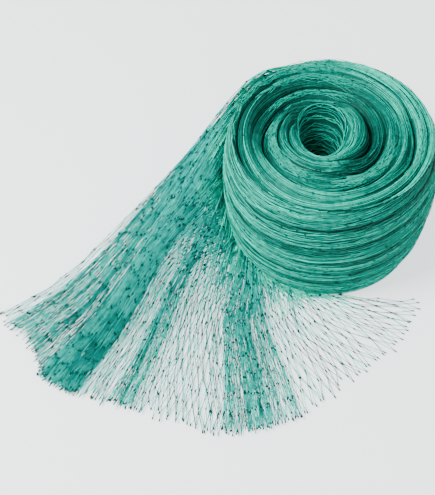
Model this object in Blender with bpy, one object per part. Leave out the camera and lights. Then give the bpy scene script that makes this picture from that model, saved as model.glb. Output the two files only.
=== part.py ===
"""A roll of knotted garden netting that stands on its end, with its loose end fanned out on the floor.

Metres, +Z up, floor at z = 0. The origin is the bottom centre of the whole object's box.
The net is one long gathered strip. Wound up it is the roll, and its last stretch leaves the roll
along the tangent, comes down to the floor and spreads into a fan of open meshes and close folds.
"""

import math

import bmesh
import bpy
from mathutils import Vector

MM = 0.001

# The roll: a barrel with a hole right through it
ROLL_AT = Vector((85.36 * MM, 55.02 * MM, 0.0))
ROLL_RADIUS = 80 * MM
ROLL_HEIGHT = 112 * MM
BASE_RADIUS = 60 * MM
HOLE_RADIUS = 17 * MM
HOLE_AT = Vector((-9 * MM, -2 * MM, 0.0))
HOLE_FLARE = 16 * MM
GROOVE_DEPTH = 9 * MM
COLUMNS = 64

# The loose end: a thin sheet with its open meshes cut through
NET_THICKNESS = 1.4 * MM
NET_CLEARANCE = 2.2 * MM
MESH_ROWS = 12
STRAND_HALF_WIDTH = 0.85 * MM
SMALLEST_GAP = 4 * MM

NET_GREEN = (0.0, 0.40, 0.27, 1.0)

# The barrel's outline above the rounded foot, from the foot up to the shoulder
WALL = (
    # height, how far in from the widest radius
    (14 * MM, 8.0 * MM),
    (24 * MM, 4.6 * MM),
    (34 * MM, 2.2 * MM),
    (42 * MM, 1.0 * MM),
    (50 * MM, 0.3 * MM),
    (58 * MM, 0.0 * MM),
    (65 * MM, 0.0 * MM),
    (72 * MM, 0.1 * MM),
    (80 * MM, 0.4 * MM),
    (87 * MM, 1.0 * MM),
    (94 * MM, 1.8 * MM),
    (100 * MM, 3.0 * MM),
    (105 * MM, 4.8 * MM),
    (108 * MM, 6.6 * MM),
)

# The two grooves between the folds of the strip, as they wind outwards over the end face
GROOVES = (
    # turns round from +X, the first and the second groove's distance from the hole's axis
    (0.00, 12 * MM, 17 * MM),
    (0.25, 18 * MM, 29 * MM),
    (0.50, 24 * MM, 32 * MM),
    (0.75, 27 * MM, 38 * MM),
    (1.00, 37 * MM, 47 * MM),
    (1.25, 40 * MM, 50 * MM),
    (1.50, 43 * MM, 51 * MM),
    (1.75, 55 * MM, 65 * MM),
    (2.00, 60 * MM, 69 * MM),
    (2.25, 62 * MM, 70 * MM),
    (2.50, 62 * MM, 72 * MM),
    (2.75, 72 * MM, 80 * MM),
    (3.00, 78 * MM, 88 * MM),
    (3.25, 82 * MM, 92 * MM),
    (4.00, 100 * MM, 110 * MM),
)

# Creases that run round the wall between the folds of the strip
CREASES = (
    # height, depth, half width, rise and fall, where it is highest
    (98 * MM, 2.6 * MM, 5.0 * MM, 11.0 * MM, 0.8),
    (80 * MM, 3.2 * MM, 5.5 * MM, 13.0 * MM, 0.9),
    (61 * MM, 2.4 * MM, 5.0 * MM, 10.0 * MM, 1.0),
    (42 * MM, 2.2 * MM, 5.5 * MM, 5.0 * MM, 1.4),
)

# The fan's edge on the floor from its left tip round to its right tip, measured from the roll's axis
FAN_EDGE = (
    # x, y
    (-251.6 * MM, -88.3 * MM),
    (-232.0 * MM, -106.5 * MM),
    (-221.5 * MM, -121.5 * MM),
    (-214.0 * MM, -140.5 * MM),
    (-198.4 * MM, -153.0 * MM),
    (-163.5 * MM, -165.0 * MM),
    (-123.2 * MM, -177.0 * MM),
    (-97.9 * MM, -186.5 * MM),
    (-71.5 * MM, -189.5 * MM),
    (-32.0 * MM, -178.5 * MM),
    (-4.0 * MM, -158.5 * MM),
    (35.5 * MM, -128.0 * MM),
    (54.8 * MM, -105.5 * MM),
    (68.5 * MM, -74.4 * MM),
)

# The strip's sections along the fan's edge: open net, or net gathered into a soft ridge
SECTIONS = (
    # where it ends along the edge, columns of meshes, height of its ridge
    (18 * MM, 4, 0.0),
    (43 * MM, 7, 4.0 * MM),
    (60 * MM, 3, 0.0),
    (102 * MM, 9, 7.0 * MM),
    (124 * MM, 4, 0.0),
    (136 * MM, 4, 4.5 * MM),
    (203 * MM, 13, 0.0),
    (257 * MM, 9, 5.0 * MM),
    (407 * MM, 25, 0.0),
)

# How high up the wall each part of the strip leaves the roll, and how far off it lands
LEAVING = (
    # share of the fan's edge, height on the wall, distance to where it lies on the floor
    (0.00, 108 * MM, 216 * MM),
    (0.10, 101 * MM, 200 * MM),
    (0.22, 86 * MM, 175 * MM),
    (0.34, 65 * MM, 142 * MM),
    (0.44, 44 * MM, 115 * MM),
    (0.54, 24 * MM, 90 * MM),
    (0.64, 10 * MM, 60 * MM),
    (0.76, 3 * MM, 40 * MM),
    (1.00, 0.2 * MM, 30 * MM),
)


def clear_scene():
    for obj in list(bpy.data.objects):
        bpy.data.objects.remove(obj)


def smooth(share):
    """0 up to 0 and 1 from 1, with a soft start and end."""
    share = min(1.0, max(0.0, share))
    return share * share * (3 - 2 * share)


def bump(distance, half_width):
    """1 at the middle of a ridge or crease, and 0 from its half width on."""
    share = min(1.0, abs(distance) / half_width)
    return 0.5 + 0.5 * math.cos(math.pi * share)


def along_table(table, at):
    """The other columns of a table, at a place in its first column, on a smooth line through its rows."""
    last = len(table) - 1
    row = next((i for i in range(last) if at <= table[i + 1][0]), last - 1)
    here, after = table[row], table[row + 1]
    before, beyond = table[max(0, row - 1)], table[min(last, row + 2)]
    width = after[0] - here[0]
    t = (at - here[0]) / width
    values = []
    for k in range(1, len(here)):
        start = (after[k] - before[k]) / (after[0] - before[0]) * width
        end = (beyond[k] - here[k]) / (beyond[0] - here[0]) * width
        values.append(
            (2 * t**3 - 3 * t**2 + 1) * here[k]
            + (t**3 - 2 * t**2 + t) * start
            + (3 * t**2 - 2 * t**3) * after[k]
            + (t**3 - t**2) * end
        )
    return values


def new_part(name, bm, colour, roughness):
    """One named object from a bmesh, with its own material, moved to where the roll stands."""
    mesh = bpy.data.meshes.new(name)
    bm.to_mesh(mesh)
    bm.free()
    mesh.shade_smooth()
    obj = bpy.data.objects.new(name, mesh)
    obj.location = ROLL_AT
    bpy.context.scene.collection.objects.link(obj)
    material = bpy.data.materials.new(name)
    material.use_nodes = True
    shader = material.node_tree.nodes["Principled BSDF"]
    shader.inputs["Base Color"].default_value = colour
    shader.inputs["Roughness"].default_value = roughness
    shader.inputs["Metallic"].default_value = 0.0
    mesh.materials.append(material)
    return obj


# The wound roll

TOP_RADIUS = 74.5 * MM
ACROSS_A_FOLD = (0.0, 0.12, 0.36, 0.64, 0.88)
THIN_EDGE = 1.2 * MM
FOOT_WIDTH = 12 * MM
FOOT_HEIGHT = 14 * MM


def hole_radius(height, angle):
    """The hole widens towards the end face, most of all at the back, where its inmost fold leans away."""
    leaning = max(0.0, math.cos(angle - math.radians(85))) ** 2
    flare = 1.5 * MM + HOLE_FLARE * leaning
    return HOLE_RADIUS - 1 * MM + flare * smooth((height - 55 * MM) / (ROLL_HEIGHT - 55 * MM))


def end_face_rim(angle):
    """The end face's outer edge, from the hole's axis."""
    towards = HOLE_AT.x * math.cos(angle) + HOLE_AT.y * math.sin(angle)
    return math.sqrt(towards**2 + TOP_RADIUS**2 - HOLE_AT.length_squared) - towards


def end_face(angle):
    """The end face at one angle as (distance from the hole's axis, height): round-backed folds, grooves."""
    inner = hole_radius(ROLL_HEIGHT, angle)
    outer = end_face_rim(angle)
    grooves = []
    for turn in range(-1, 4):
        grooves += along_table(GROOVES, max(0.0, turn + angle / math.tau))
    points = []
    for here, after in zip(grooves, grooves[1:] + [grooves[-1] + 10 * MM]):
        for across in ACROSS_A_FOLD:
            radius = here + (after - here) * across
            if radius < inner + THIN_EDGE:
                radius = inner
            if radius > outer - THIN_EDGE:
                radius = outer
            back = math.sqrt(1 - 0.96 * (2 * across - 1) ** 2)
            uneven = 0.78 + 0.22 * math.sin(2 * angle + radius / (15 * MM))
            depth = GROOVE_DEPTH * uneven * (1 - back)
            depth *= smooth((radius - inner) / (5 * MM)) * smooth((outer - radius) / (5 * MM))
            inner_lip = 4 * MM * (1 - smooth((radius - inner) / (7 * MM)))
            outer_lip = 2.2 * MM * (1 - smooth((outer - radius) / (8 * MM)))
            points.append((radius, ROLL_HEIGHT - inner_lip - outer_lip - depth))
    return points


def wall_radius(height, angle):
    """The wall at a height, pressed in along the creases."""
    radius = ROLL_RADIUS - along_table(WALL, height)[0]
    for middle, depth, half_width, rise, highest in CREASES:
        radius -= depth * bump(height - middle - rise * math.cos(angle - highest), half_width)
    return radius


def out_from(axis, radius, angle, height):
    return axis + Vector((radius * math.cos(angle), radius * math.sin(angle), height))


def roll_column(angle):
    """The roll's outline at one angle: up the hole, over the end face, down the wall and in over the base."""
    hole = [
        out_from(HOLE_AT, hole_radius(height, angle), angle, height)
        for height in (0.0, 30 * MM, 60 * MM, 78 * MM, 92 * MM, 103 * MM)
    ]
    top = [out_from(HOLE_AT, radius, angle, height) for radius, height in end_face(angle)]
    rim = out_from(HOLE_AT, end_face_rim(angle), angle, 0.0)
    round_axis = math.atan2(rim.y, rim.x)
    uneven = 1 + 0.008 * math.sin(2 * round_axis + 0.6) + 0.005 * math.sin(3 * round_axis + 2.0)
    outline = [(uneven * wall_radius(height, round_axis), height) for height, _ in reversed(WALL)]
    outline += [
        (BASE_RADIUS + FOOT_WIDTH * math.cos(turned), FOOT_HEIGHT * (1 - math.sin(turned)))
        for turned in (math.radians(25), math.radians(48), math.radians(68), math.radians(90))
    ]
    outline += [(40 * MM, 0.0)]
    rest = [out_from(Vector(), radius, round_axis, height) for radius, height in outline]
    return hole, top, rest


def make_roll():
    """The wound strip as one solid. From the last column to the first, each fold meets the one a turn out."""
    bm = bmesh.new()
    columns = []
    for column in range(COLUMNS):
        outline = roll_column(math.tau * column / COLUMNS)
        columns.append([[bm.verts.new(place) for place in part] for part in outline])
    a_turn = 2 * len(ACROSS_A_FOLD)
    for column in range(COLUMNS):
        hole, top, rest = columns[column]
        next_hole, next_top, next_rest = columns[(column + 1) % COLUMNS]
        if column == COLUMNS - 1:
            next_top = next_top[a_turn:] + next_top[-1:] * a_turn
        ring = hole + top + rest
        next_ring = next_hole + next_top + next_rest
        for i in range(len(ring)):
            after = (i + 1) % len(ring)
            corners = list(dict.fromkeys([ring[i], next_ring[i], next_ring[after], ring[after]]))
            if len(corners) > 2:
                bm.faces.new(corners)
    bmesh.ops.remove_doubles(bm, verts=bm.verts, dist=0.001 * MM)
    bmesh.ops.triangulate(bm, faces=bm.faces)
    bmesh.ops.recalc_face_normals(bm, faces=bm.faces)
    return new_part("net_roll", bm, NET_GREEN, 0.5)


# The loose end

EDGE_ROWS = []
edge_length = 0.0
for corner, point in enumerate(FAN_EDGE):
    if corner:
        edge_length += math.dist(point, FAN_EDGE[corner - 1])
    EDGE_ROWS.append((edge_length, *point))


def wall_clear(height):
    """How far from the axis the net leaves the roll, clear of its wall and foot."""
    off = NET_CLEARANCE + NET_THICKNESS / 2
    if height > WALL[0][0]:
        return 1.01 * (ROLL_RADIUS - along_table(WALL, height)[0]) + off
    share = height / WALL[0][0]
    return BASE_RADIUS + FOOT_WIDTH * (0.88 + 0.18 * share) + off


def fan_place(along, down):
    """A point of the net, by its distance along the fan's edge and down, 0 at the roll and 1 at the edge."""
    x, y = along_table(EDGE_ROWS, min(along, edge_length))
    height, landing = along_table(LEAVING, along / edge_length)
    reach = wall_clear(height)
    # the strip leaves the wall along the tangent that runs to its place on the edge
    distance = math.hypot(x, y)
    leaves = math.atan2(y, x) - math.acos(reach / distance)
    start = Vector((reach * math.cos(leaves), reach * math.sin(leaves), 0.0))
    run = Vector((x, y, 0.0)) - start
    still_up = max(0.0, 1 - (down * run.length / landing) ** 1.3) ** 1.6
    return start + run * down + Vector((0.0, 0.0, height * still_up + NET_THICKNESS / 2))


def column_places():
    """Each column of knots: its distance along the fan's edge, its ridge, whether its meshes are open."""
    places = [(0.0, 0.0, True)]
    start = 0.0
    for end, columns, ridge in SECTIONS:
        for column in range(1, columns + 1):
            share = column / columns
            middle = ridge * math.sin(math.pi * share) ** 0.8 if column < columns else 0.0
            places.append((start + (end - start) * share, middle, ridge == 0.0))
        start = end
    return places


def make_loose_end():
    """Diamond meshes drawn out lengthwise, open where the net is spread and closed where it is gathered."""
    places = column_places()
    last_column = len(places) - 1
    bm = bmesh.new()
    made = {}

    def spot(column, row):
        key = (round(column, 4), round(row, 4))
        if key not in made:
            left = int(min(column, last_column - 1))
            share = column - left
            along = places[left][0] * (1 - share) + places[left + 1][0] * share
            ridge = places[left][1] * (1 - share) + places[left + 1][1] * share
            down = row / MESH_ROWS
            lift = ridge * smooth(down * 1.6) * (1.0 - 0.35 * down)
            made[key] = bm.verts.new(fan_place(along, down) + Vector((0.0, 0.0, lift)))
        return made[key]

    for row in range(MESH_ROWS + 1):
        for column in range(last_column + 1):
            if (row + column) % 2 == 0:
                continue
            top, foot = (column, row - 1), (column, row + 1)
            left, right = (column - 1, row), (column + 1, row)
            corners = [
                (at_column, at_row)
                for at_column, at_row in (top, left, foot, right)
                if 0 <= at_column <= last_column and 0 <= at_row <= MESH_ROWS
            ]
            whole = len(corners) == 4
            half = (spot(*right).co - spot(*left).co).length / 2 if whole else 0.0
            kept = 1 - STRAND_HALF_WIDTH / half if half else 0.0
            is_open = whole and places[column][2] and 2 * half * kept > SMALLEST_GAP
            if not is_open:
                bm.faces.new([spot(*c) for c in corners])
                continue
            inner = [(column + (c[0] - column) * kept, row + (c[1] - row) * kept) for c in corners]
            for i in range(4):
                after = (i + 1) % 4
                strand = (corners[i], corners[after], inner[after], inner[i])
                bm.faces.new([spot(*place) for place in strand])
    bmesh.ops.triangulate(bm, faces=bm.faces)
    obj = new_part("loose_end", bm, NET_GREEN, 0.5)
    solid = obj.modifiers.new("thickness of the net", "SOLIDIFY")
    solid.thickness = NET_THICKNESS
    solid.offset = 0.0
    solid.use_even_offset = False
    return obj


clear_scene()
make_roll()
make_loose_end()
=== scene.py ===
import math
import random

import bmesh
import bpy
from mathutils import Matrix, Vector, noise


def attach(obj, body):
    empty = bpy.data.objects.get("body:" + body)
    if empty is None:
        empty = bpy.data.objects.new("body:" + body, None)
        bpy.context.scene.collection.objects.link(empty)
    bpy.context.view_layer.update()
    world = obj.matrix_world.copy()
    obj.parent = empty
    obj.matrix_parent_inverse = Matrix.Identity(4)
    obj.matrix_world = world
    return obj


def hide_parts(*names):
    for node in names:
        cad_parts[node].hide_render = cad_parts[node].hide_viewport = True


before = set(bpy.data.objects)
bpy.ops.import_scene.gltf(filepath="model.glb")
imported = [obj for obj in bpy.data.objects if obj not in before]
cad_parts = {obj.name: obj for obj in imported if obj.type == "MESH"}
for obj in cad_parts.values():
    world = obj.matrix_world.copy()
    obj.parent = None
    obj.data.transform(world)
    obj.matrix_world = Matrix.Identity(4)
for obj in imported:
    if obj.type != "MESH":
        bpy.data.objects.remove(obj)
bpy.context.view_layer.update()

MM = 0.001

# The view of the photograph: from the front and well above, with a long lens, so that both the end
# face of the roll and the whole fan of loose net show.
VIEW_DOWN = math.radians(53)
VIEW_DISTANCE = 950 * MM
LOOKS_AT = Vector((0.0, 31.3 * MM, 0.0))
camera = bpy.data.objects.new("camera", bpy.data.cameras.new("camera"))
camera.data.lens = 86.7
camera.location = LOOKS_AT + VIEW_DISTANCE * Vector((0.0, -math.cos(VIEW_DOWN), math.sin(VIEW_DOWN)))
camera.rotation_euler = (math.pi / 2 - VIEW_DOWN, 0.0, 0.0)
bpy.context.scene.collection.objects.link(camera)
bpy.context.scene.camera = camera


# The studio: a white table that runs out of sight, a bright even surround, and a large soft lamp high
# on the left that lights the end face and leaves the right of the roll a little darker.
def new_material(name, colour, roughness):
    """A Principled material with its plain values set, and its node tree."""
    material = bpy.data.materials.new(name)
    material.use_nodes = True
    shader = material.node_tree.nodes["Principled BSDF"]
    shader.inputs["Base Color"].default_value = (*colour, 1.0)
    shader.inputs["Roughness"].default_value = roughness
    return material, material.node_tree, shader


def new_piece(name, bm, material):
    """A finished mesh as an object at the origin, smooth, with its material."""
    mesh = bpy.data.meshes.new(name)
    bm.to_mesh(mesh)
    bm.free()
    mesh.shade_smooth()
    piece = bpy.data.objects.new(name, mesh)
    bpy.context.scene.collection.objects.link(piece)
    mesh.materials.append(material)
    return piece


table_white, table_tree, table_shader = new_material("table_white", (0.92, 0.93, 0.95), 0.9)
table_shader.inputs["Emission Color"].default_value = (0.95, 0.97, 1.0, 1.0)
table_shader.inputs["Emission Strength"].default_value = 1.3
table_bm = bmesh.new()
bmesh.ops.create_grid(table_bm, x_segments=1, y_segments=1, size=4.0)
table = new_piece("table", table_bm, table_white)


def add_lamp(name, place, towards, size, power, colour):
    """A square lamp at a place, turned towards another."""
    lamp = bpy.data.objects.new(name, bpy.data.lights.new(name, "AREA"))
    lamp.data.size = size
    lamp.data.energy = power
    lamp.data.color = colour
    lamp.location = place
    lamp.rotation_euler = (Vector(place) - Vector(towards)).to_track_quat("Z", "Y").to_euler()
    bpy.context.scene.collection.objects.link(lamp)


add_lamp("key_lamp", (-0.75, -0.25, 1.15), (0.05, 0.05, 0.03), 0.55, 30.0, (1.0, 1.0, 1.0))
add_lamp("front_lamp", (0.25, -1.3, 0.9), (0.0, 0.0, 0.05), 0.9, 6.0, (0.97, 0.99, 1.0))
surround = bpy.data.worlds.new("surround")
surround.use_nodes = True
surround.node_tree.nodes["Background"].inputs["Color"].default_value = (0.95, 0.97, 1.0, 1.0)
surround.node_tree.nodes["Background"].inputs["Strength"].default_value = 0.7
bpy.context.scene.world = surround


# The wound roll: fine green plastic net, gathered lengthwise into a soft strip with one fold in it, and
# wound up round the hand. Its folds stand side by side on the end face with deep grooves between them,
# and the outer turns sag a little and crease round the wall.
ROLL_AT = Vector((85.36 * MM, 55.02 * MM, 0.0))
ROLL_RADIUS = 80 * MM
ROLL_HEIGHT = 112 * MM
BASE_RADIUS = 68 * MM
HOLE_RADIUS = 17 * MM
HOLE_AT = Vector((-9 * MM, -2 * MM, 0.0))
HOLE_FLARE = 16 * MM
TOP_RADIUS = 74.5 * MM
GROOVE_DEPTH = 12 * MM
FOOT_WIDTH = 4 * MM
FOOT_HEIGHT = 14 * MM
LIP_DROP = 4 * MM
RIM_DROP = 2.2 * MM
TURNS = 5
COLUMNS = 216
STEPS_A_FOLD = 11
WALL_ROWS = 60
RIM_ROWS = 2
BASE_ROWS = 6
HOLE_ROWS = 40

WALL = (
    # height, how far in from the widest radius
    (14 * MM, 5.6 * MM),
    (24 * MM, 3.6 * MM),
    (34 * MM, 2.0 * MM),
    (42 * MM, 1.0 * MM),
    (50 * MM, 0.3 * MM),
    (58 * MM, 0.0 * MM),
    (65 * MM, 0.0 * MM),
    (72 * MM, 0.1 * MM),
    (80 * MM, 0.4 * MM),
    (87 * MM, 1.0 * MM),
    (94 * MM, 1.8 * MM),
    (100 * MM, 3.0 * MM),
    (105 * MM, 4.8 * MM),
    (108 * MM, 6.6 * MM),
)
GROOVES = (
    # turns round from +X, the first and the second groove's distance from the hole's axis
    (0.00, 12 * MM, 17 * MM),
    (0.25, 18 * MM, 29 * MM),
    (0.50, 24 * MM, 32 * MM),
    (0.75, 27 * MM, 38 * MM),
    (1.00, 37 * MM, 47 * MM),
    (1.25, 40 * MM, 50 * MM),
    (1.50, 43 * MM, 51 * MM),
    (1.75, 55 * MM, 65 * MM),
    (2.00, 60 * MM, 69 * MM),
    (2.25, 62 * MM, 70 * MM),
    (2.50, 62 * MM, 72 * MM),
    (2.75, 72 * MM, 80 * MM),
    (3.00, 78 * MM, 88 * MM),
    (3.25, 82 * MM, 92 * MM),
    (4.00, 100 * MM, 110 * MM),
)
GROOVE_STRENGTHS = (
    # turns round from +X, how deep the first and the second groove are there
    (0.00, 0.3, 0.6),
    (0.25, 0.3, 0.5),
    (0.50, 0.6, 1.1),
    (0.75, 1.1, 0.2),
    (1.00, 1.2, 1.1),
    (1.25, 1.0, 0.6),
    (1.50, 1.1, 0.8),
    (1.75, 1.2, 0.1),
    (2.00, 0.15, 1.3),
    (2.25, 0.4, 0.5),
    (2.50, 0.9, 0.5),
    (2.75, 0.9, 0.25),
    (3.00, 0.7, 0.6),
    (3.25, 0.5, 0.5),
    (4.00, 0.5, 0.5),
)
LOW_PLACES = (
    # turns round from +X, distance from the hole's axis, how far down, half length in turns, half width
    (0.95, 41 * MM, 6.0 * MM, 0.14, 6 * MM),
    (0.80, 47 * MM, 3.0 * MM, 0.10, 5 * MM),
    (0.56, 42 * MM, 4.0 * MM, 0.16, 6 * MM),
    (0.32, 43 * MM, 6.0 * MM, 0.17, 9 * MM),
    (0.98, 67 * MM, 5.5 * MM, 0.07, 4 * MM),
    (0.62, 66 * MM, 2.5 * MM, 0.14, 5 * MM),
    (0.12, 58 * MM, 2.5 * MM, 0.12, 6 * MM),
)
CREASES = (
    # height, depth, half width, rise and fall round the roll, angle at which it is highest
    (98 * MM, 3.0 * MM, 5.5 * MM, 11.0 * MM, 0.8),
    (80 * MM, 4.2 * MM, 5.5 * MM, 13.0 * MM, 0.9),
    (61 * MM, 3.2 * MM, 5.0 * MM, 10.0 * MM, 1.0),
    (42 * MM, 3.2 * MM, 5.5 * MM, 5.0 * MM, 1.4),
    (89 * MM, 1.2 * MM, 3.0 * MM, 9.0 * MM, 1.3),
    (70 * MM, 1.5 * MM, 3.0 * MM, 10.0 * MM, 0.6),
    (51 * MM, 1.4 * MM, 3.5 * MM, 7.0 * MM, 1.7),
    (28 * MM, 1.6 * MM, 4.5 * MM, 3.0 * MM, 0.2),
)
LAY_OF_WALL = (
    # height, how far the lay rises and falls round the roll, angle at which it is highest
    (0 * MM, 0 * MM, 1.4),
    (20 * MM, 2 * MM, 1.4),
    (42 * MM, 5 * MM, 1.4),
    (61 * MM, 10 * MM, 1.0),
    (80 * MM, 13 * MM, 0.9),
    (98 * MM, 11 * MM, 0.8),
    (125 * MM, 9 * MM, 0.8),
)


def smooth(share):
    """0 up to 0 and 1 from 1, with a soft start and end."""
    share = min(1.0, max(0.0, share))
    return share * share * (3 - 2 * share)


def along_table(rows, at):
    """The other columns of a table, at a place in its first column, on a smooth line through its rows."""
    last = len(rows) - 1
    row = next((i for i in range(last) if at <= rows[i + 1][0]), last - 1)
    here, after = rows[row], rows[row + 1]
    before, beyond = rows[max(0, row - 1)], rows[min(last, row + 2)]
    width = after[0] - here[0]
    t = (at - here[0]) / width
    values = []
    for k in range(1, len(here)):
        start = (after[k] - before[k]) / (after[0] - before[0]) * width
        end = (beyond[k] - here[k]) / (beyond[0] - here[0]) * width
        values.append(
            (2 * t**3 - 3 * t**2 + 1) * here[k]
            + (t**3 - 2 * t**2 + t) * start
            + (3 * t**2 - 2 * t**3) * after[k]
            + (t**3 - t**2) * end
        )
    return values


def out_from(axis, radius, angle, height):
    """A point by its distance and angle from an axis, which is given from the roll's own."""
    return ROLL_AT + axis + Vector((radius * math.cos(angle), radius * math.sin(angle), height))


def hole_radius(height, angle):
    """The hole widens towards the end face, most of all at the back, where its inmost fold leans away."""
    leaning = max(0.0, math.cos(angle - math.radians(85))) ** 2
    flare = 1.5 * MM + HOLE_FLARE * leaning
    return HOLE_RADIUS - 1 * MM + flare * smooth((height - 55 * MM) / (ROLL_HEIGHT - 55 * MM))


def lip_sag(angle):
    """How far the hole's lip hangs down at the front."""
    return 4.5 * MM * max(0.0, math.cos(angle + 1.4)) ** 1.5


def hole_top(angle):
    """How high the wall of the hole goes up, to its lip."""
    return ROLL_HEIGHT - LIP_DROP - lip_sag(angle)


def end_face_rim(angle):
    """The end face's outer edge, from the hole's axis."""
    towards = HOLE_AT.x * math.cos(angle) + HOLE_AT.y * math.sin(angle)
    return math.sqrt(towards**2 + TOP_RADIUS**2 - HOLE_AT.length_squared) - towards


def end_face(turn, share):
    """A point of the end face by turns round the hole and share of the strip's width.

    With it come how far it is sunk, its distance from the hole's axis, and whether it is on the face.
    """
    angle = math.tau * turn
    inner = hole_radius(ROLL_HEIGHT, angle)
    outer = end_face_rim(angle)
    first, second = along_table(GROOVES, max(0.0, turn))
    first_deep, second_deep = along_table(GROOVE_STRENGTHS, max(0.0, turn))
    if share < 0.5:
        here, after, across = first, second, 2 * share
        strength = first_deep + (second_deep - first_deep) * smooth(across)
    else:
        here, after, across = second, along_table(GROOVES, max(0.0, turn + 1))[0], 2 * share - 1
        next_deep = along_table(GROOVE_STRENGTHS, max(0.0, turn + 1))[0]
        strength = second_deep + (next_deep - second_deep) * smooth(across)
    wanted = here + (after - here) * across
    radius = min(outer, max(inner, wanted))
    side = abs(2 * across - 1)
    narrow = min(1.0, (after - here) / (9 * MM))
    uneven = 0.75 + 0.25 * math.sin(2 * angle + radius / (15 * MM))
    depth = GROOVE_DEPTH * strength * uneven * narrow * (1 - math.sqrt(1 - 0.985 * side**2.3))
    depth *= smooth((radius - inner) / (4 * MM)) * smooth((outer - radius) / (3.5 * MM))
    sunk = 0.0
    for low_turn, low_radius, low, half_turns, half_width in LOW_PLACES:
        round_off = abs((turn - low_turn + 0.5) % 1 - 0.5) / half_turns
        across_off = abs(radius - low_radius) / half_width
        sunk += low * smooth(1.5 - round_off) * smooth(1.5 - across_off)
    inner_lip = LIP_DROP * (1 - smooth((radius - inner) / (6 * MM)))
    outer_lip = RIM_DROP * (1 - smooth((outer - radius) / (8 * MM)))
    strip = share * 26 + turn * 3
    bundle = 0.5 * MM * noise.noise(Vector((math.cos(angle) * 2, math.sin(angle) * 2, strip)))
    sag = lip_sag(angle) * smooth(1.2 - (radius - inner) / (14 * MM))
    down = inner_lip + outer_lip + depth + sunk + sag
    spot = out_from(HOLE_AT, radius, angle, ROLL_HEIGHT - down + bundle)
    return spot, depth + sunk, radius, wanted == radius


def wall_dent(height, angle):
    """How far the wall is pressed in by its creases."""
    dent = 0.0
    for middle, depth, half_width, rise, highest in CREASES:
        distance = abs(height - middle - rise * math.cos(angle - highest)) / half_width
        dent += depth * max(0.0, 1 - distance) ** 1.5
    return dent


def wall_radius(height, angle):
    """The wall at a height, pressed in along the creases, and rounded in at its foot."""
    if height < FOOT_HEIGHT:
        return BASE_RADIUS + FOOT_WIDTH * math.sqrt(1 - (1 - height / FOOT_HEIGHT) ** 2)
    radius = ROLL_RADIUS - along_table(WALL, height)[0] - wall_dent(height, angle)
    uneven = 1 + 0.008 * math.sin(2 * angle + 0.6) + 0.005 * math.sin(3 * angle + 2.0)
    return radius * uneven


def crease_line(height):
    """How far the lay of the wall rises and falls round the roll at a height, and where it is highest."""
    return along_table(LAY_OF_WALL, height)


def rim_round_axis(angle):
    """The angle round the roll's own axis at which the end face ends, for an angle round the hole's."""
    rim = out_from(HOLE_AT, end_face_rim(angle), angle, 0.0) - ROLL_AT
    return math.atan2(rim.y, rim.x)


packed = bmesh.new()
lay = packed.verts.layers.float.new("lay")
painted_shade = packed.verts.layers.float.new("painted_shade")


def laid_grid(columns, rows, place):
    """A grid of the roll's skin. Place gives each vertex its spot, its side in the lay and painted shade."""
    made = bmesh.ops.create_grid(packed, x_segments=columns, y_segments=rows, size=1.0)["verts"]
    for vert in made:
        spot, side, depth = place(0.5 + vert.co.x / 2, 0.5 + vert.co.y / 2)
        vert.co = spot
        vert[lay] = side
        vert[painted_shade] = depth


def face_place(round_share, side_share):
    turn = round(round_share * TURNS * COLUMNS) / COLUMNS - 1
    spot, depth = end_face(turn, side_share)[:2]
    # painted shade: the deeper a groove or low place, the darker
    return spot, side_share * 24, depth / GROOVE_DEPTH


def wall_place(round_share, up_share):
    angle = rim_round_axis(math.tau * round_share)
    height = WALL[-1][0] * up_share
    rise, highest = crease_line(height)
    side = (height - rise * math.cos(angle - highest)) / MM
    # painted shade in the wall's creases
    shade = min(1.0, wall_dent(height, angle) / (3.5 * MM))
    return out_from(Vector(), wall_radius(height, angle), angle, height), side, shade


def rim_place(round_share, in_share):
    angle = math.tau * round_share
    round_axis = rim_round_axis(angle)
    low = out_from(Vector(), wall_radius(WALL[-1][0], round_axis), round_axis, WALL[-1][0])
    top = out_from(HOLE_AT, end_face_rim(angle), angle, ROLL_HEIGHT - RIM_DROP)
    return low.lerp(top, in_share), 110 + 4 * in_share, 0.0


def base_place(round_share, in_share):
    angle = math.tau * round_share
    round_axis = rim_round_axis(angle)
    outside = out_from(Vector(), BASE_RADIUS, round_axis, 0.0)
    return outside.lerp(out_from(HOLE_AT, hole_radius(0.0, angle), angle, 0.0), in_share), 40 * in_share, 0.0


def hole_place(round_share, up_share):
    angle = math.tau * round_share
    height = ROLL_HEIGHT * up_share
    radius = hole_radius(height, angle)
    ribs = 0.8 * MM * noise.noise(Vector((math.cos(angle) * 1.2, math.sin(angle) * 1.2, up_share * 24)))
    ribs *= smooth(4 * up_share) * smooth(8 * (1 - up_share))
    # the whole hole gets some painted shade
    return out_from(HOLE_AT, radius + ribs, angle, min(height, hole_top(angle))), height / MM, 0.4


laid_grid(TURNS * COLUMNS, 2 * STEPS_A_FOLD, face_place)
laid_grid(COLUMNS, WALL_ROWS, wall_place)
laid_grid(COLUMNS, RIM_ROWS, rim_place)
laid_grid(COLUMNS, BASE_ROWS, base_place)
laid_grid(COLUMNS, HOLE_ROWS, hole_place)
bmesh.ops.remove_doubles(packed, verts=packed.verts, dist=0.02 * MM)
bmesh.ops.dissolve_degenerate(packed, edges=packed.edges, dist=0.01 * MM)
bmesh.ops.recalc_face_normals(packed, faces=packed.faces)


# The packed net under the twine from a step away: hundreds of strands side by side, streaked light and
# dark along the winding. Its colour is darker than the twine's, as painted shade inside the packed net,
# and painted shade makes it nearly black down in the grooves and darker in the creases and the hole.
def add_node(tree, kind, **settings):
    """A shader node with its settings, each by its attribute's name."""
    node = tree.nodes.new(kind)
    for name, value in settings.items():
        setattr(node, name, value)
    return node


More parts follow.
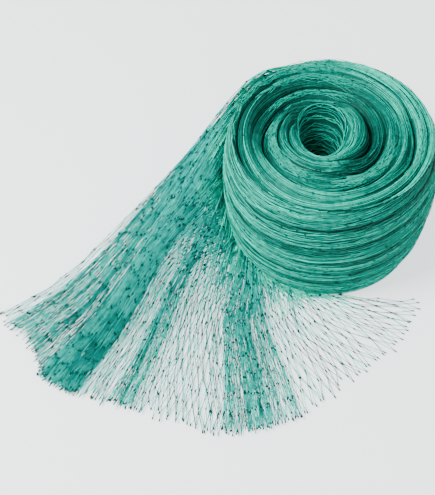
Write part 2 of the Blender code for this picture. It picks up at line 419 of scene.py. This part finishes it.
def streaks():
    """A node group: noise drawn out along the winding, by how far a place lies to the side of it."""
    group = bpy.data.node_groups.new("drawn_out_streaks", "ShaderNodeTree")
    for name in ("Side", "Along", "Across"):
        group.interface.new_socket(name, in_out="INPUT", socket_type="NodeSocketFloat")
    group.interface.new_socket("Streak", in_out="OUTPUT", socket_type="NodeSocketFloat")
    into, out = group.nodes.new("NodeGroupInput"), group.nodes.new("NodeGroupOutput")
    place = group.nodes.new("ShaderNodeTexCoord")
    split = group.nodes.new("ShaderNodeSeparateXYZ")
    joined = group.nodes.new("ShaderNodeCombineXYZ")
    pattern = group.nodes.new("ShaderNodeTexNoise")
    pattern.inputs["Scale"].default_value = 1.0
    pattern.inputs["Detail"].default_value = 3.0
    pattern.inputs["Roughness"].default_value = 0.6
    link = group.links.new
    link(place.outputs["Object"], split.inputs[0])
    for value, times, axis in (
        (split.outputs["X"], "Along", "X"),
        (split.outputs["Y"], "Along", "Y"),
        (into.outputs["Side"], "Across", "Z"),
    ):
        product = add_node(group, "ShaderNodeMath", operation="MULTIPLY")
        link(value, product.inputs[0])
        link(into.outputs[times], product.inputs[1])
        link(product.outputs[0], joined.inputs[axis])
    link(joined.outputs[0], pattern.inputs["Vector"])
    link(pattern.outputs[0], out.inputs["Streak"])
    return group


drawn_out = streaks()


def streak_node(tree, along, across):
    node = add_node(tree, "ShaderNodeGroup", node_tree=drawn_out)
    node.inputs["Along"].default_value = along
    node.inputs["Across"].default_value = across
    return node


packed_net, tree, shader = new_material("packed_net", (0.0, 0.2, 0.14), 0.5)
shader.inputs["Specular IOR Level"].default_value = 0.1
side = add_node(tree, "ShaderNodeAttribute", attribute_name="lay")
depth = add_node(tree, "ShaderNodeAttribute", attribute_name="painted_shade")
fine = streak_node(tree, 26.0, 1.7)
bundles = streak_node(tree, 12.0, 0.3)
both = add_node(tree, "ShaderNodeMix", data_type="FLOAT")
both.inputs["Factor"].default_value = 0.4
ramp = tree.nodes.new("ShaderNodeValToRGB")
ramp.color_ramp.elements[0].position = 0.36
ramp.color_ramp.elements[0].color = (0.0, 0.035, 0.024, 1.0)
ramp.color_ramp.elements[1].position = 0.66
ramp.color_ramp.elements[1].color = (0.0, 0.17, 0.112, 1.0)
middle = ramp.color_ramp.elements.new(0.5)
middle.color = (0.0, 0.09, 0.06, 1.0)
# painted shade: the colour goes towards near black by how much shade each place is given
darker = add_node(tree, "ShaderNodeMix", data_type="RGBA", blend_type="MIX")
darker.inputs["B"].default_value = (0.0, 0.025, 0.018, 1.0)
bump = tree.nodes.new("ShaderNodeBump")
bump.inputs["Strength"].default_value = 0.7
bump.inputs["Distance"].default_value = 0.6 * MM
link = tree.links.new
link(side.outputs["Fac"], fine.inputs["Side"])
link(side.outputs["Fac"], bundles.inputs["Side"])
link(fine.outputs["Streak"], both.inputs["A"])
link(bundles.outputs["Streak"], both.inputs["B"])
link(both.outputs["Result"], ramp.inputs["Fac"])
link(ramp.outputs["Color"], darker.inputs["A"])
link(depth.outputs["Fac"], darker.inputs["Factor"])
link(darker.outputs["Result"], shader.inputs["Base Color"])
link(both.outputs["Result"], bump.inputs["Height"])
link(bump.outputs["Normal"], shader.inputs["Normal"])

wound_net = new_piece("wound_net", packed, packed_net)
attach(wound_net, "root")
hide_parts("net_roll")


# The twine on the outside of the roll: the net is knotted from one thin round plastic twine. Drawn out
# lengthwise its meshes close up, so that the twine lies side by side along the winding, and meets its
# neighbours at a small dark knot every 15 mm.
TWINE = 0.46 * MM
BAR = 15 * MM
TONES = 5
MIDDLE_TONE = 2
DARK_PATCH = 0.66


def patches_along_twine():
    """A node group: a dark and a light colour in turn, in patches along the twine."""
    group = bpy.data.node_groups.new("patches_along_twine", "ShaderNodeTree")
    for name in ("Dark", "Light"):
        group.interface.new_socket(name, in_out="INPUT", socket_type="NodeSocketColor")
    group.interface.new_socket("Colour", in_out="OUTPUT", socket_type="NodeSocketColor")
    into, out = group.nodes.new("NodeGroupInput"), group.nodes.new("NodeGroupOutput")
    place = group.nodes.new("ShaderNodeTexCoord")
    pattern = group.nodes.new("ShaderNodeTexNoise")
    pattern.inputs["Scale"].default_value = 240.0
    pattern.inputs["Detail"].default_value = 4.0
    spread = group.nodes.new("ShaderNodeMapRange")
    spread.inputs["From Min"].default_value = 0.35
    spread.inputs["From Max"].default_value = 0.65
    mixed = add_node(group, "ShaderNodeMix", data_type="RGBA")
    link = group.links.new
    link(place.outputs["Object"], pattern.inputs["Vector"])
    link(pattern.outputs[0], spread.inputs["Value"])
    link(spread.outputs[0], mixed.inputs["Factor"])
    link(into.outputs["Dark"], mixed.inputs["A"])
    link(into.outputs["Light"], mixed.inputs["B"])
    link(mixed.outputs["Result"], out.inputs["Colour"])
    return group


twine_patches = patches_along_twine()


def twine_material(name, colour, clear):
    """Twine of one tone, paler and darker in patches. Clear is how far light goes through it."""
    material, tree, shader = new_material(name, colour, 0.4)
    shader.inputs["Specular IOR Level"].default_value = 0.15
    shader.inputs["Transmission Weight"].default_value = clear
    shader.inputs["IOR"].default_value = 1.1 if clear else 1.45
    patches = add_node(tree, "ShaderNodeGroup", node_tree=twine_patches)
    patches.inputs["Dark"].default_value = (*(DARK_PATCH * part for part in colour), 1.0)
    patches.inputs["Light"].default_value = (*colour, 1.0)
    tree.links.new(patches.outputs["Colour"], shader.inputs["Base Color"])
    return material


def twine_tones(name, light, dark, clear=0.0):
    """The materials of one twine, from its lightest tone to its darkest, which isn't clear at all. They
    are lit and shaded copies of one twine, for painted light and shade and for tone at random.
    """
    tones = []
    for step in range(TONES):
        share = step / (TONES - 1)
        colour = [part * (other / part) ** share for part, other in zip(light, dark)]
        tones.append(twine_material(f"{name}_{step + 1}", colour, clear * (1 - share)))
    return tones


# lit and shaded copies of the roll's twine, for painted light and shade
roll_tones = twine_tones("roll_twine", (0.0001, 1.0, 0.72), (0.0001, 0.17, 0.12))
knot_twine = twine_material("knot_twine", (0.0, 0.065, 0.05), 0.0)


def lay_twine(name, runs, thickness, materials):
    """Many lengths of twine as one piece. A run is its places, its thickness at each, and its tone."""
    curve = bpy.data.curves.new(name, "CURVE")
    curve.dimensions = "3D"
    curve.twist_mode = "Z_UP"
    curve.bevel_depth = thickness / 2
    curve.bevel_resolution = 0
    curve.use_fill_caps = True
    for material in materials:
        curve.materials.append(material)
    for places, sizes, tone in runs:
        spline = curve.splines.new("POLY")
        spline.points.add(len(places) - 1)
        spline.points.foreach_set("co", [number for place in places for number in (*place, 1.0)])
        spline.points.foreach_set("radius", sizes)
        spline.material_index = tone
    route = bpy.data.objects.new(name + "_route", curve)
    mesh = bpy.data.meshes.new_from_object(route)
    bpy.data.objects.remove(route)
    bm = bmesh.new()
    bm.from_mesh(mesh)
    bmesh.ops.remove_doubles(bm, verts=bm.verts, dist=0.001 * MM)
    bmesh.ops.recalc_face_normals(bm, faces=bm.faces)
    bm.to_mesh(mesh)
    bm.free()
    mesh.name = name
    mesh.shade_smooth()
    piece = bpy.data.objects.new(name, mesh)
    bpy.context.scene.collection.objects.link(piece)
    return piece


def knot(place, along, size=1.0):
    """A small long knot at a place, in the direction of the twine."""
    along = along.normalized()
    reach = (-1.4, -0.6, 0.6, 1.4)
    return [place + along * (step * size * MM) for step in reach], [0.45, 1.0, 1.0, 0.45], 0


chance = random.Random(7)


def chosen_tone(brightness):
    """The tone nearest to a brightness from 0 to 1, or the next one by chance."""
    return min(TONES - 1, max(0, int(TONES * (1 - brightness - chance.uniform(-0.1, 0.1)))))


def face_brightness(lane, spot, sunk):
    """Painted highlight at the back right and front of the end face, painted shade on the left and down
    in the grooves and low places, and tone that differs at random.
    """
    x, y = spot.x - ROLL_AT.x - HOLE_AT.x, spot.y - ROLL_AT.y - HOLE_AT.y
    angle, radius = math.atan2(y, x), math.hypot(x, y)
    back_right = max(0.0, math.cos(angle - 0.95)) * smooth((radius - 48 * MM) / (12 * MM))
    front = max(0.0, math.cos(angle + 1.8))
    left = max(0.0, math.cos(angle - 3.0)) ** 2
    shine = 0.63 + 0.33 * back_right
    shine += 0.12 * front - 0.5 * left
    shine -= 0.85 * min(1.0, sunk / (7 * MM))
    return shine + 0.5 * noise.noise(Vector((lane * 0.31, spot.x * 35, spot.y * 35)))


def wall_brightness(lane, spot, height):
    """Painted light on the wall's twine: brightest on its left, darker towards the right, painted shade
    in its creases, and tone that differs at random.
    """
    angle = math.atan2(spot.y - ROLL_AT.y, spot.x - ROLL_AT.x)
    shine = 0.66 + 0.12 * math.cos(angle + 2.7) - 0.5 * min(1.0, wall_dent(height, angle) / (3 * MM))
    return shine + 0.5 * noise.noise(Vector((lane * 0.33, spot.x * 35, spot.y * 35)))


# The end face's twine follows the folds of the strip round the hole, each length on one fold. It lies
# loose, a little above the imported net, and none lies down in the grooves.
FACE_LANES = 68
FACE_STEPS = 80
face_runs, packed_knots = [], []
for lane in range(FACE_LANES):
    share = (lane + 0.5 + chance.uniform(-0.3, 0.3)) / FACE_LANES
    in_groove = abs(abs(4 * share - 2) - 1) > 0.94
    if in_groove:
        continue
    lift = chance.choice((0.1, 0.3, 0.5, 0.7, 1.5)) * MM
    wave = chance.uniform(0, 100)
    fold_side = 0.01 if share < 0.5 else 0.51
    places = []
    for step in range(TURNS * FACE_STEPS):
        turn = step / FACE_STEPS - 1
        shift = 0.045 * noise.noise(Vector((turn * 9, lane * 0.31, 4)))
        shift += 0.012 * noise.noise(Vector((turn * 7, wave, 0)))
        on_fold = min(fold_side + 0.48, max(fold_side, share + shift))
        spot, depth_here, _, free = end_face(turn, on_fold)
        if free:
            rise = lift + 0.5 * MM * noise.noise(Vector((turn * 11, wave, 5)))
            places.append(spot + Vector((0.0, 0.0, max(0.05 * MM, rise))))
            if chance.random() < 0.03 and len(places) > 3:
                packed_knots.append(knot(places[-1], places[-1] - places[-2], 0.7))
        if len(places) > 1 and (not free or chance.random() < 0.12):
            # tone by the end face's painted light and shade
            bright = face_brightness(lane, places[-1], depth_here)
            face_runs.append((places, [1.0] * len(places), chosen_tone(bright)))
            places = places[-1:]
        if not free:
            places = []
    if len(places) > 1:
        face_runs.append((places, [1.0] * len(places), MIDDLE_TONE))
end_face_twine = lay_twine("end_face_twine", face_runs, TWINE, roll_tones)
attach(end_face_twine, "root")

# The wall's twine goes round the roll in nearly level lanes, which rise and fall with the creases. It
# is the outmost turn of the net, pulled tight in some places and loose in others.
WALL_LANES = 170
WALL_STEPS = 84
wall_runs = []
for lane in range(WALL_LANES):
    base = 2.0 + 0.69 * (lane + chance.uniform(-0.3, 0.3))
    lift = chance.choice((0.1, 0.3, 0.5, 0.7, 1.3)) * MM
    wave = chance.uniform(0, 100)
    places = []
    for step in range(WALL_STEPS + 1):
        angle = math.tau * (step / WALL_STEPS + lane * 0.618)
        rise, highest = crease_line(base * MM)
        height = base * MM + rise * math.cos(angle - highest)
        height += 1.2 * MM * noise.noise(Vector((math.cos(angle) * 7, math.sin(angle) * 7, lane * 0.33)))
        height += 0.6 * MM * noise.noise(Vector((math.cos(angle) * 3, math.sin(angle) * 3, wave)))
        height += chance.uniform(-0.35, 0.35) * MM
        inside = 1.5 * MM < height < WALL[-1][0]
        if inside:
            out = lift + 0.4 * MM * noise.noise(Vector((math.cos(angle) * 5, math.sin(angle) * 5, wave + 9)))
            radius = wall_radius(height, angle) + max(0.0, out)
            places.append(out_from(Vector(), radius, angle, height))
            if chance.random() < 0.06 and len(places) > 3:
                packed_knots.append(knot(places[-1], places[-1] - places[-2], 0.8))
        if len(places) > 1 and (not inside or chance.random() < 0.13):
            # tone by the wall's painted light and shade
            bright = wall_brightness(lane, places[-1], height)
            wall_runs.append((places, [1.0] * len(places), chosen_tone(bright)))
            places = places[-1:]
        if not inside:
            places = []
    if len(places) > 1:
        wall_runs.append((places, [1.0] * len(places), MIDDLE_TONE))
wall_twine = lay_twine("wall_twine", wall_runs, TWINE, roll_tones)
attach(wall_twine, "root")

# The twine round the hole, which is the first turn of the net. It hangs in the hole in slack rings
# whose tones are painted darker towards the floor, as painted shade down the hole.
HOLE_LANES = 70
HOLE_STEPS = 36
hole_runs = []
for lane in range(HOLE_LANES):
    height = (6 + 1.5 * lane + chance.uniform(-0.8, 0.8)) * MM
    wave = chance.uniform(0, 100)
    places = []
    for step in range(HOLE_STEPS + 1):
        angle = math.tau * (step / HOLE_STEPS + lane * 0.618)
        wander = noise.noise(Vector((math.cos(angle) * 2, math.sin(angle) * 2, wave)))
        here = min(ROLL_HEIGHT - 2 * MM, height + 5 * MM * wander)
        radius = hole_radius(here, angle) - chance.uniform(0.4, 1.2) * MM
        places.append(out_from(HOLE_AT, radius, angle, min(here, hole_top(angle))))
    hole_runs.append((places, [1.0] * len(places), chosen_tone(0.34 + 0.34 * height / ROLL_HEIGHT)))
hole_twine = lay_twine("hole_twine", hole_runs, TWINE, roll_tones)
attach(hole_twine, "root")

# Open net on the end face: here and there some layers of the strip have slid apart, so that their
# meshes stand open over the low places between the folds.
OPEN_PLACES = (
    # turns from and to, share of the strip's width from and to, meshes across, layers
    (0.40, 0.74, 0.56, 0.97, 7, 4),
    (0.76, 1.04, 0.04, 0.48, 6, 4),
    (0.78, 0.98, 0.60, 0.96, 6, 4),
    (1.90, 2.04, 0.55, 0.95, 4, 3),
    (1.16, 1.40, 0.06, 0.46, 4, 3),
    (1.16, 1.40, 0.54, 0.94, 4, 3),
    (0.16, 0.40, 0.50, 0.95, 6, 3),
    (2.20, 2.60, 0.06, 0.46, 4, 3),
    (2.20, 2.60, 0.54, 0.95, 4, 3),
)
open_runs = []
for from_turn, to_turn, from_share, to_share, meshes, layers in OPEN_PLACES:
    for strand in range(2 * meshes * layers):
        start = from_turn + chance.uniform(-0.02, 0.04)
        middle = from_share + (to_share - from_share) * (strand % (2 * meshes) + 0.5) / (2 * meshes)
        half_mesh = 0.5 * (to_share - from_share) / meshes
        turn, places, lift = start, [], chance.uniform(0.6, 2.6) * MM
        bar = strand % 2
        while turn < to_turn + chance.uniform(-0.04, 0.02):
            share = middle + (half_mesh if bar % 2 else -half_mesh) + chance.uniform(-0.2, 0.2) * half_mesh
            spot, _, radius, free = end_face(turn, min(0.99, max(0.01, share)))
            if not free or (places and abs(spot.z + lift - places[-1].z) > 2.5 * MM):
                break
            places.append(spot + Vector((0.0, 0.0, lift + chance.uniform(0, 0.6) * MM)))
            if len(places) > 1 and chance.random() < 0.3:
                packed_knots.append(knot(places[-1], places[-1] - places[-2], 0.8))
            turn += 0.7 * BAR / (math.tau * radius) * chance.uniform(0.8, 1.2)
            bar += 1
        if len(places) > 1:
            open_runs.append((places, [0.85] * len(places), chosen_tone(0.7)))
open_twine = lay_twine("open_twine", open_runs, TWINE, roll_tones)
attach(open_twine, "root")

# The knots that show on the roll, where two twines of one mesh are tied together. They are small, hard
# and darker than the twine.
PACKED_KNOT = 0.6 * MM
roll_knots = lay_twine("roll_knots", packed_knots, PACKED_KNOT, [knot_twine])
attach(roll_knots, "root")


# The loose end: the net as it comes off the roll, still gathered and folded at its start, and spread
# out on the table at its end, where its diamond meshes open. It leaves the roll's wall on the left.
FAN_EDGE = (
    # x and y from the roll's axis
    (-251.6 * MM, -88.3 * MM),
    (-232.0 * MM, -106.5 * MM),
    (-221.5 * MM, -121.5 * MM),
    (-214.0 * MM, -140.5 * MM),
    (-198.4 * MM, -153.0 * MM),
    (-163.5 * MM, -165.0 * MM),
    (-123.2 * MM, -177.0 * MM),
    (-97.9 * MM, -186.5 * MM),
    (-71.5 * MM, -189.5 * MM),
    (-32.0 * MM, -178.5 * MM),
    (-4.0 * MM, -158.5 * MM),
    (35.5 * MM, -128.0 * MM),
    (54.8 * MM, -105.5 * MM),
    (68.5 * MM, -74.4 * MM),
)
LEAVING = (
    # share of the edge, height on the wall, distance at which the net lands
    (0.00, 108 * MM, 216 * MM),
    (0.10, 101 * MM, 200 * MM),
    (0.22, 86 * MM, 175 * MM),
    (0.34, 65 * MM, 142 * MM),
    (0.44, 44 * MM, 115 * MM),
    (0.54, 24 * MM, 90 * MM),
    (0.64, 10 * MM, 60 * MM),
    (0.76, 3 * MM, 40 * MM),
    (1.00, 0.2 * MM, 30 * MM),
)
FOLDS = (
    # column of meshes, its distance along the fan's edge, how high its layer lies
    (0, 0 * MM, 1.5 * MM),
    (16, 45 * MM, 0.6 * MM),
    (24, 14 * MM, 2.5 * MM),
    (38, 47 * MM, 3.5 * MM),
    (46, 42 * MM, 1.0 * MM),
    (72, 97 * MM, 1.5 * MM),
    (94, 62 * MM, 3.0 * MM),
    (116, 93 * MM, 4.5 * MM),
    (136, 65 * MM, 6.0 * MM),
    (156, 96 * MM, 7.0 * MM),
    (163, 126 * MM, 1.2 * MM),
    (170, 138 * MM, 2.0 * MM),
    (177, 122 * MM, 3.5 * MM),
    (185, 140 * MM, 5.0 * MM),
    (191, 157 * MM, 1.2 * MM),
    (200, 202 * MM, 0.8 * MM),
    (216, 266 * MM, 2.0 * MM),
    (234, 208 * MM, 3.5 * MM),
    (251, 245 * MM, 5.0 * MM),
    (262, 228 * MM, 3.0 * MM),
    (276, 264 * MM, 2.5 * MM),
    (281, 290 * MM, 1.0 * MM),
    (287, 325 * MM, 0.6 * MM),
    (298, 407 * MM, 0.4 * MM),
)
UNDER_LAYER = (
    # column of meshes, its distance along the fan's edge, how high its layer lies
    (0, 0 * MM, 0.2 * MM),
    (9, 60 * MM, 0.2 * MM),
    (15, 104 * MM, 0.2 * MM),
    (26, 200 * MM, 0.2 * MM),
    (34, 260 * MM, 0.2 * MM),
    (50, 407 * MM, 0.2 * MM),
)
NET_CLEARANCE = 2.9 * MM
ON_THE_WALL = 40 * MM
BARS_BACK = 40
DRAWN_OUT = 0.975
LOOSE_TWINE = 0.34 * MM
OFF_THE_TABLE = 0.6 * MM
WANDER = 5 * MM
RIPPLE = 1.4 * MM
FALLS_IN = 3.6 * MM
STANDS_PROUD = 12 * MM

EDGE_ROWS = []
edge_length = 0.0
for corner, point in enumerate(FAN_EDGE):
    if corner:
        edge_length += math.dist(point, FAN_EDGE[corner - 1])
    EDGE_ROWS.append((edge_length, *point))


def wall_clear(height):
    """How far from the axis the net leaves the roll, clear of its wall and foot."""
    if height > WALL[0][0]:
        return 1.01 * (ROLL_RADIUS - along_table(WALL, height)[0]) + NET_CLEARANCE
    share = height / WALL[0][0]
    return BASE_RADIUS + FOOT_WIDTH * (0.88 + 0.18 * share) + NET_CLEARANCE


def loose_place(folds, column, bars):
    """A point of the loose net by column of meshes and by bars of twine back from the fan's edge.

    With it come whether it shows, how far it is on its way to the edge, and where it ends along it.
    """
    last_column = folds[-1][0]
    column = min(last_column, max(0.0, column))
    folded, layer = along_table(folds, column)
    even = edge_length * column / last_column
    along = folded
    # worked out twice, because how far a strand has run and where it then lies depend on each other
    for _ in range(2):
        along += WANDER * noise.noise(Vector((column * 0.05, bars * 0.16, folds[1][0])))
        astray = 2.2 * MM * smooth(1.5 - bars / 10)
        along += astray * noise.noise(Vector((column * 0.45, bars * 0.4, 7.0)))
        along = min(edge_length, max(0.0, along))
        x, y = along_table(EDGE_ROWS, along)
        height, landing = along_table(LEAVING, along / edge_length)
        reach = wall_clear(height)
        leaves = math.atan2(y, x) - math.acos(reach / math.hypot(x, y))
        start = Vector((reach * math.cos(leaves), reach * math.sin(leaves), 0.0))
        run = Vector((x, y, 0.0)) - start
        gone = run.length - bars * DRAWN_OUT * BAR
        down = gone / run.length
        # near the roll the net is gathered evenly, and its folds form on the way to the edge
        along = even + (folded - even) * smooth(0.1 + 1.7 * down) * smooth(0.1 + gone / (70 * MM))
    thick = 0.5 + noise.noise(Vector((column * 0.9, 3.0, 0.0)))
    inwards = FALLS_IN * min(1.0, max(0.0, 1.2 * thick)) * smooth(1 - gone / (45 * MM))
    proud = smooth(1 - along / (70 * MM)) * smooth(1 - abs(gone - 28 * MM) / (55 * MM))
    proud *= max(0.0, 1 - column / 10) if folds is FOLDS else 0.0
    if gone < 0:
        angle = leaves + gone / reach
        closer = reach - max(inwards, 2.6 * MM * smooth(-gone / ON_THE_WALL)) + 3 * MM * proud
        up = height + 0.3 * MM + STANDS_PROUD * proud
        spot = Vector((closer * math.cos(angle), closer * math.sin(angle), up))
        return ROLL_AT + spot, gone > -ON_THE_WALL, down, along
    still_up = max(0.0, 1 - (gone / landing) ** 1.3) ** 1.6
    lift = layer * smooth(down * 1.6) * (1 - 0.35 * down) + OFF_THE_TABLE
    lift += 4 * MM * max(0.0, thick) * smooth(1 - 1.6 * down)
    ripple = RIPPLE * (0.5 + noise.noise(Vector((x * 25 * (1 - down * 0.6), y * 25, bars * 0.4))))
    inward = Vector((math.cos(leaves), math.sin(leaves), 0.0)) * inwards
    lift += STANDS_PROUD * proud
    spot = start - inward + run * down + Vector((0.0, 0.0, height * still_up + lift + max(0.0, ripple)))
    return ROLL_AT + spot, True, down, along


def layers_at(along):
    """How many layers of folds lie over each other at a distance along the fan's edge."""
    return 1 + sum((a[1] - along) * (b[1] - along) < 0 for a, b in zip(FOLDS, FOLDS[1:]))


def tie_knots(folds, reach):
    """Where each knot of a layer lies, by half columns and bars, until its column is out of sight.

    Reach is the share of the way to the fan's edge that the layer covers.
    """
    knots = {}
    for half in range(2 * folds[-1][0] + 1):
        aside = chance.uniform(-0.2, 0.2)
        late = 0.8 * noise.noise(Vector((half * 0.08, 8.0, 0.0))) + chance.uniform(-0.3, 0.3)
        end = 0.7 * noise.noise(Vector((half * 0.21, 3.0, 0.0))) + chance.uniform(-0.15, 0.15)
        for bars in range(half % 2, BARS_BACK, 2):
            fade = min(1.0, bars / 3)
            back = bars + max(-0.3, end) * (1 - fade) + (late + chance.uniform(-0.08, 0.08)) * fade
            spot, shows, down, along = loose_place(folds, half / 2 + aside, back)
            if not shows:
                break
            if reach == 1 or down < reach + 0.6 * end:
                knots[half, bars] = spot, down, along
    return knots


def net_layer(folds, brightness, knots_shown=1.0, reach=1):
    """The runs of twine of one layer of the net, and its knots. Beside the roll it has the roll's tones with
    the wall's painted light and shade, and it is painted lighter where it leaves the roll.
    """
    knots = tie_knots(folds, reach)
    runs, tied = [], []
    for (half, bars), (spot, down, along) in knots.items():
        further = knots.get((half, bars + 2))
        layers = layers_at(along)
        if chance.random() > knots_shown * (0.2 + 1.7 / layers) * smooth(0.35 + 1.5 * down):
            continue
        direction = further[0] - spot if further else Vector((0.3, 1.0, 0.0))
        tied.append(knot(spot, direction, chance.uniform(0.45, 0.6) + 0.8 / layers))
    for column in range(folds[-1][0] + 1):
        for to_side in (-1, 1):
            places, sizes = [], []
            for bars in range(BARS_BACK):
                here = knots.get((2 * column + (to_side if bars % 2 else 0), bars))
                if not here:
                    if places:
                        break
                    continue
                spot, down, along = here
                if places and down < 0.5:
                    aside, ahead = chance.uniform(-0.2, 0.2), chance.uniform(-0.2, 0.2)
                    bend = Vector((aside, ahead, chance.uniform(0, 0.3)))
                    places.append((places[-1] + spot) / 2 + bend * MM)
                    sizes.append(sizes[-1])
                places.append(spot)
                sizes.append(1.0 + 0.5 / layers_at(along) + 1.2 * smooth(1.1 - 2.8 * down))
                if len(places) > 1 and (chance.random() < 0.2 or (2 * column, bars + 2) not in knots):
                    streak = noise.noise(Vector((along / (1.9 * MM), bars * 0.12, 0.0)))
                    bright = brightness - 0.15 / layers_at(along) + 1.3 * streak
                    # painted light: lighter where the net leaves the roll, against the shade between it and
                    # the wall
                    bright += 0.5 * smooth(1 - down / 0.25)
                    tone = chosen_tone(bright)
                    # beside the roll, tones from the wall's painted light and shade
                    if chance.random() < smooth(1.2 - down / 0.12):
                        tone = TONES + chosen_tone(wall_brightness(column, spot, spot.z))
                    runs.append((places, sizes, tone))
                    places, sizes = places[-1:], sizes[-1:]
            if len(places) > 1:
                runs.append((places, sizes, chosen_tone(brightness)))
    return runs, tied


loose_tones = twine_tones("loose_twine", (0.02, 0.95, 0.82), (0.004, 0.26, 0.21), 0.5)
under_runs, under_knots = net_layer(UNDER_LAYER, 0.75)
folded_runs, folded_knots = net_layer(FOLDS, 0.78)
loose_net = lay_twine("loose_net", under_runs + folded_runs, LOOSE_TWINE, loose_tones + roll_tones)
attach(loose_net, "root")
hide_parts("loose_end")

# The gathered net: the other half of the same folded strip. It lies in the dense bands with the loose
# net, and its start is the bundle that comes off the wall.
GATHERED_TWINE = 0.42 * MM
GATHERED = (
    # column of meshes, its distance along the fan's edge, how high its layer lies
    (0, 12 * MM, 1.0 * MM),
    (22, 45 * MM, 1.0 * MM),
    (30, 61 * MM, 1.0 * MM),
    (66, 94 * MM, 2.5 * MM),
    (98, 67 * MM, 5.0 * MM),
    (130, 91 * MM, 3.5 * MM),
    (158, 66 * MM, 6.5 * MM),
    (188, 96 * MM, 4.5 * MM),
    (204, 128 * MM, 1.5 * MM),
    (214, 138 * MM, 3.0 * MM),
    (226, 208 * MM, 1.0 * MM),
    (246, 250 * MM, 4.0 * MM),
)
STRIP = (
    # column of meshes, its distance along the fan's edge, how high its layer lies
    (0, 0 * MM, 0.8 * MM),
    (60, 110 * MM, 0.8 * MM),
    (160, 250 * MM, 0.8 * MM),
    (200, 330 * MM, 0.8 * MM),
)
gathered_runs, gathered_knots = net_layer(GATHERED, 0.74, 0.3)
gathered_runs += net_layer(STRIP, 0.74, 0.1, 0.4)[0]
gathered_net = lay_twine("gathered_net", gathered_runs, GATHERED_TWINE, loose_tones + roll_tones)
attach(gathered_net, "root")

# The knots of the loose net, tied tight by machine where two twines cross. They are the darkest spots,
# since less light gets through them.
LOOSE_KNOT = 1.1 * MM
tied_knots = under_knots + folded_knots + gathered_knots
net_knots = lay_twine("loose_net_knots", tied_knots, LOOSE_KNOT, [knot_twine])
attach(net_knots, "root")
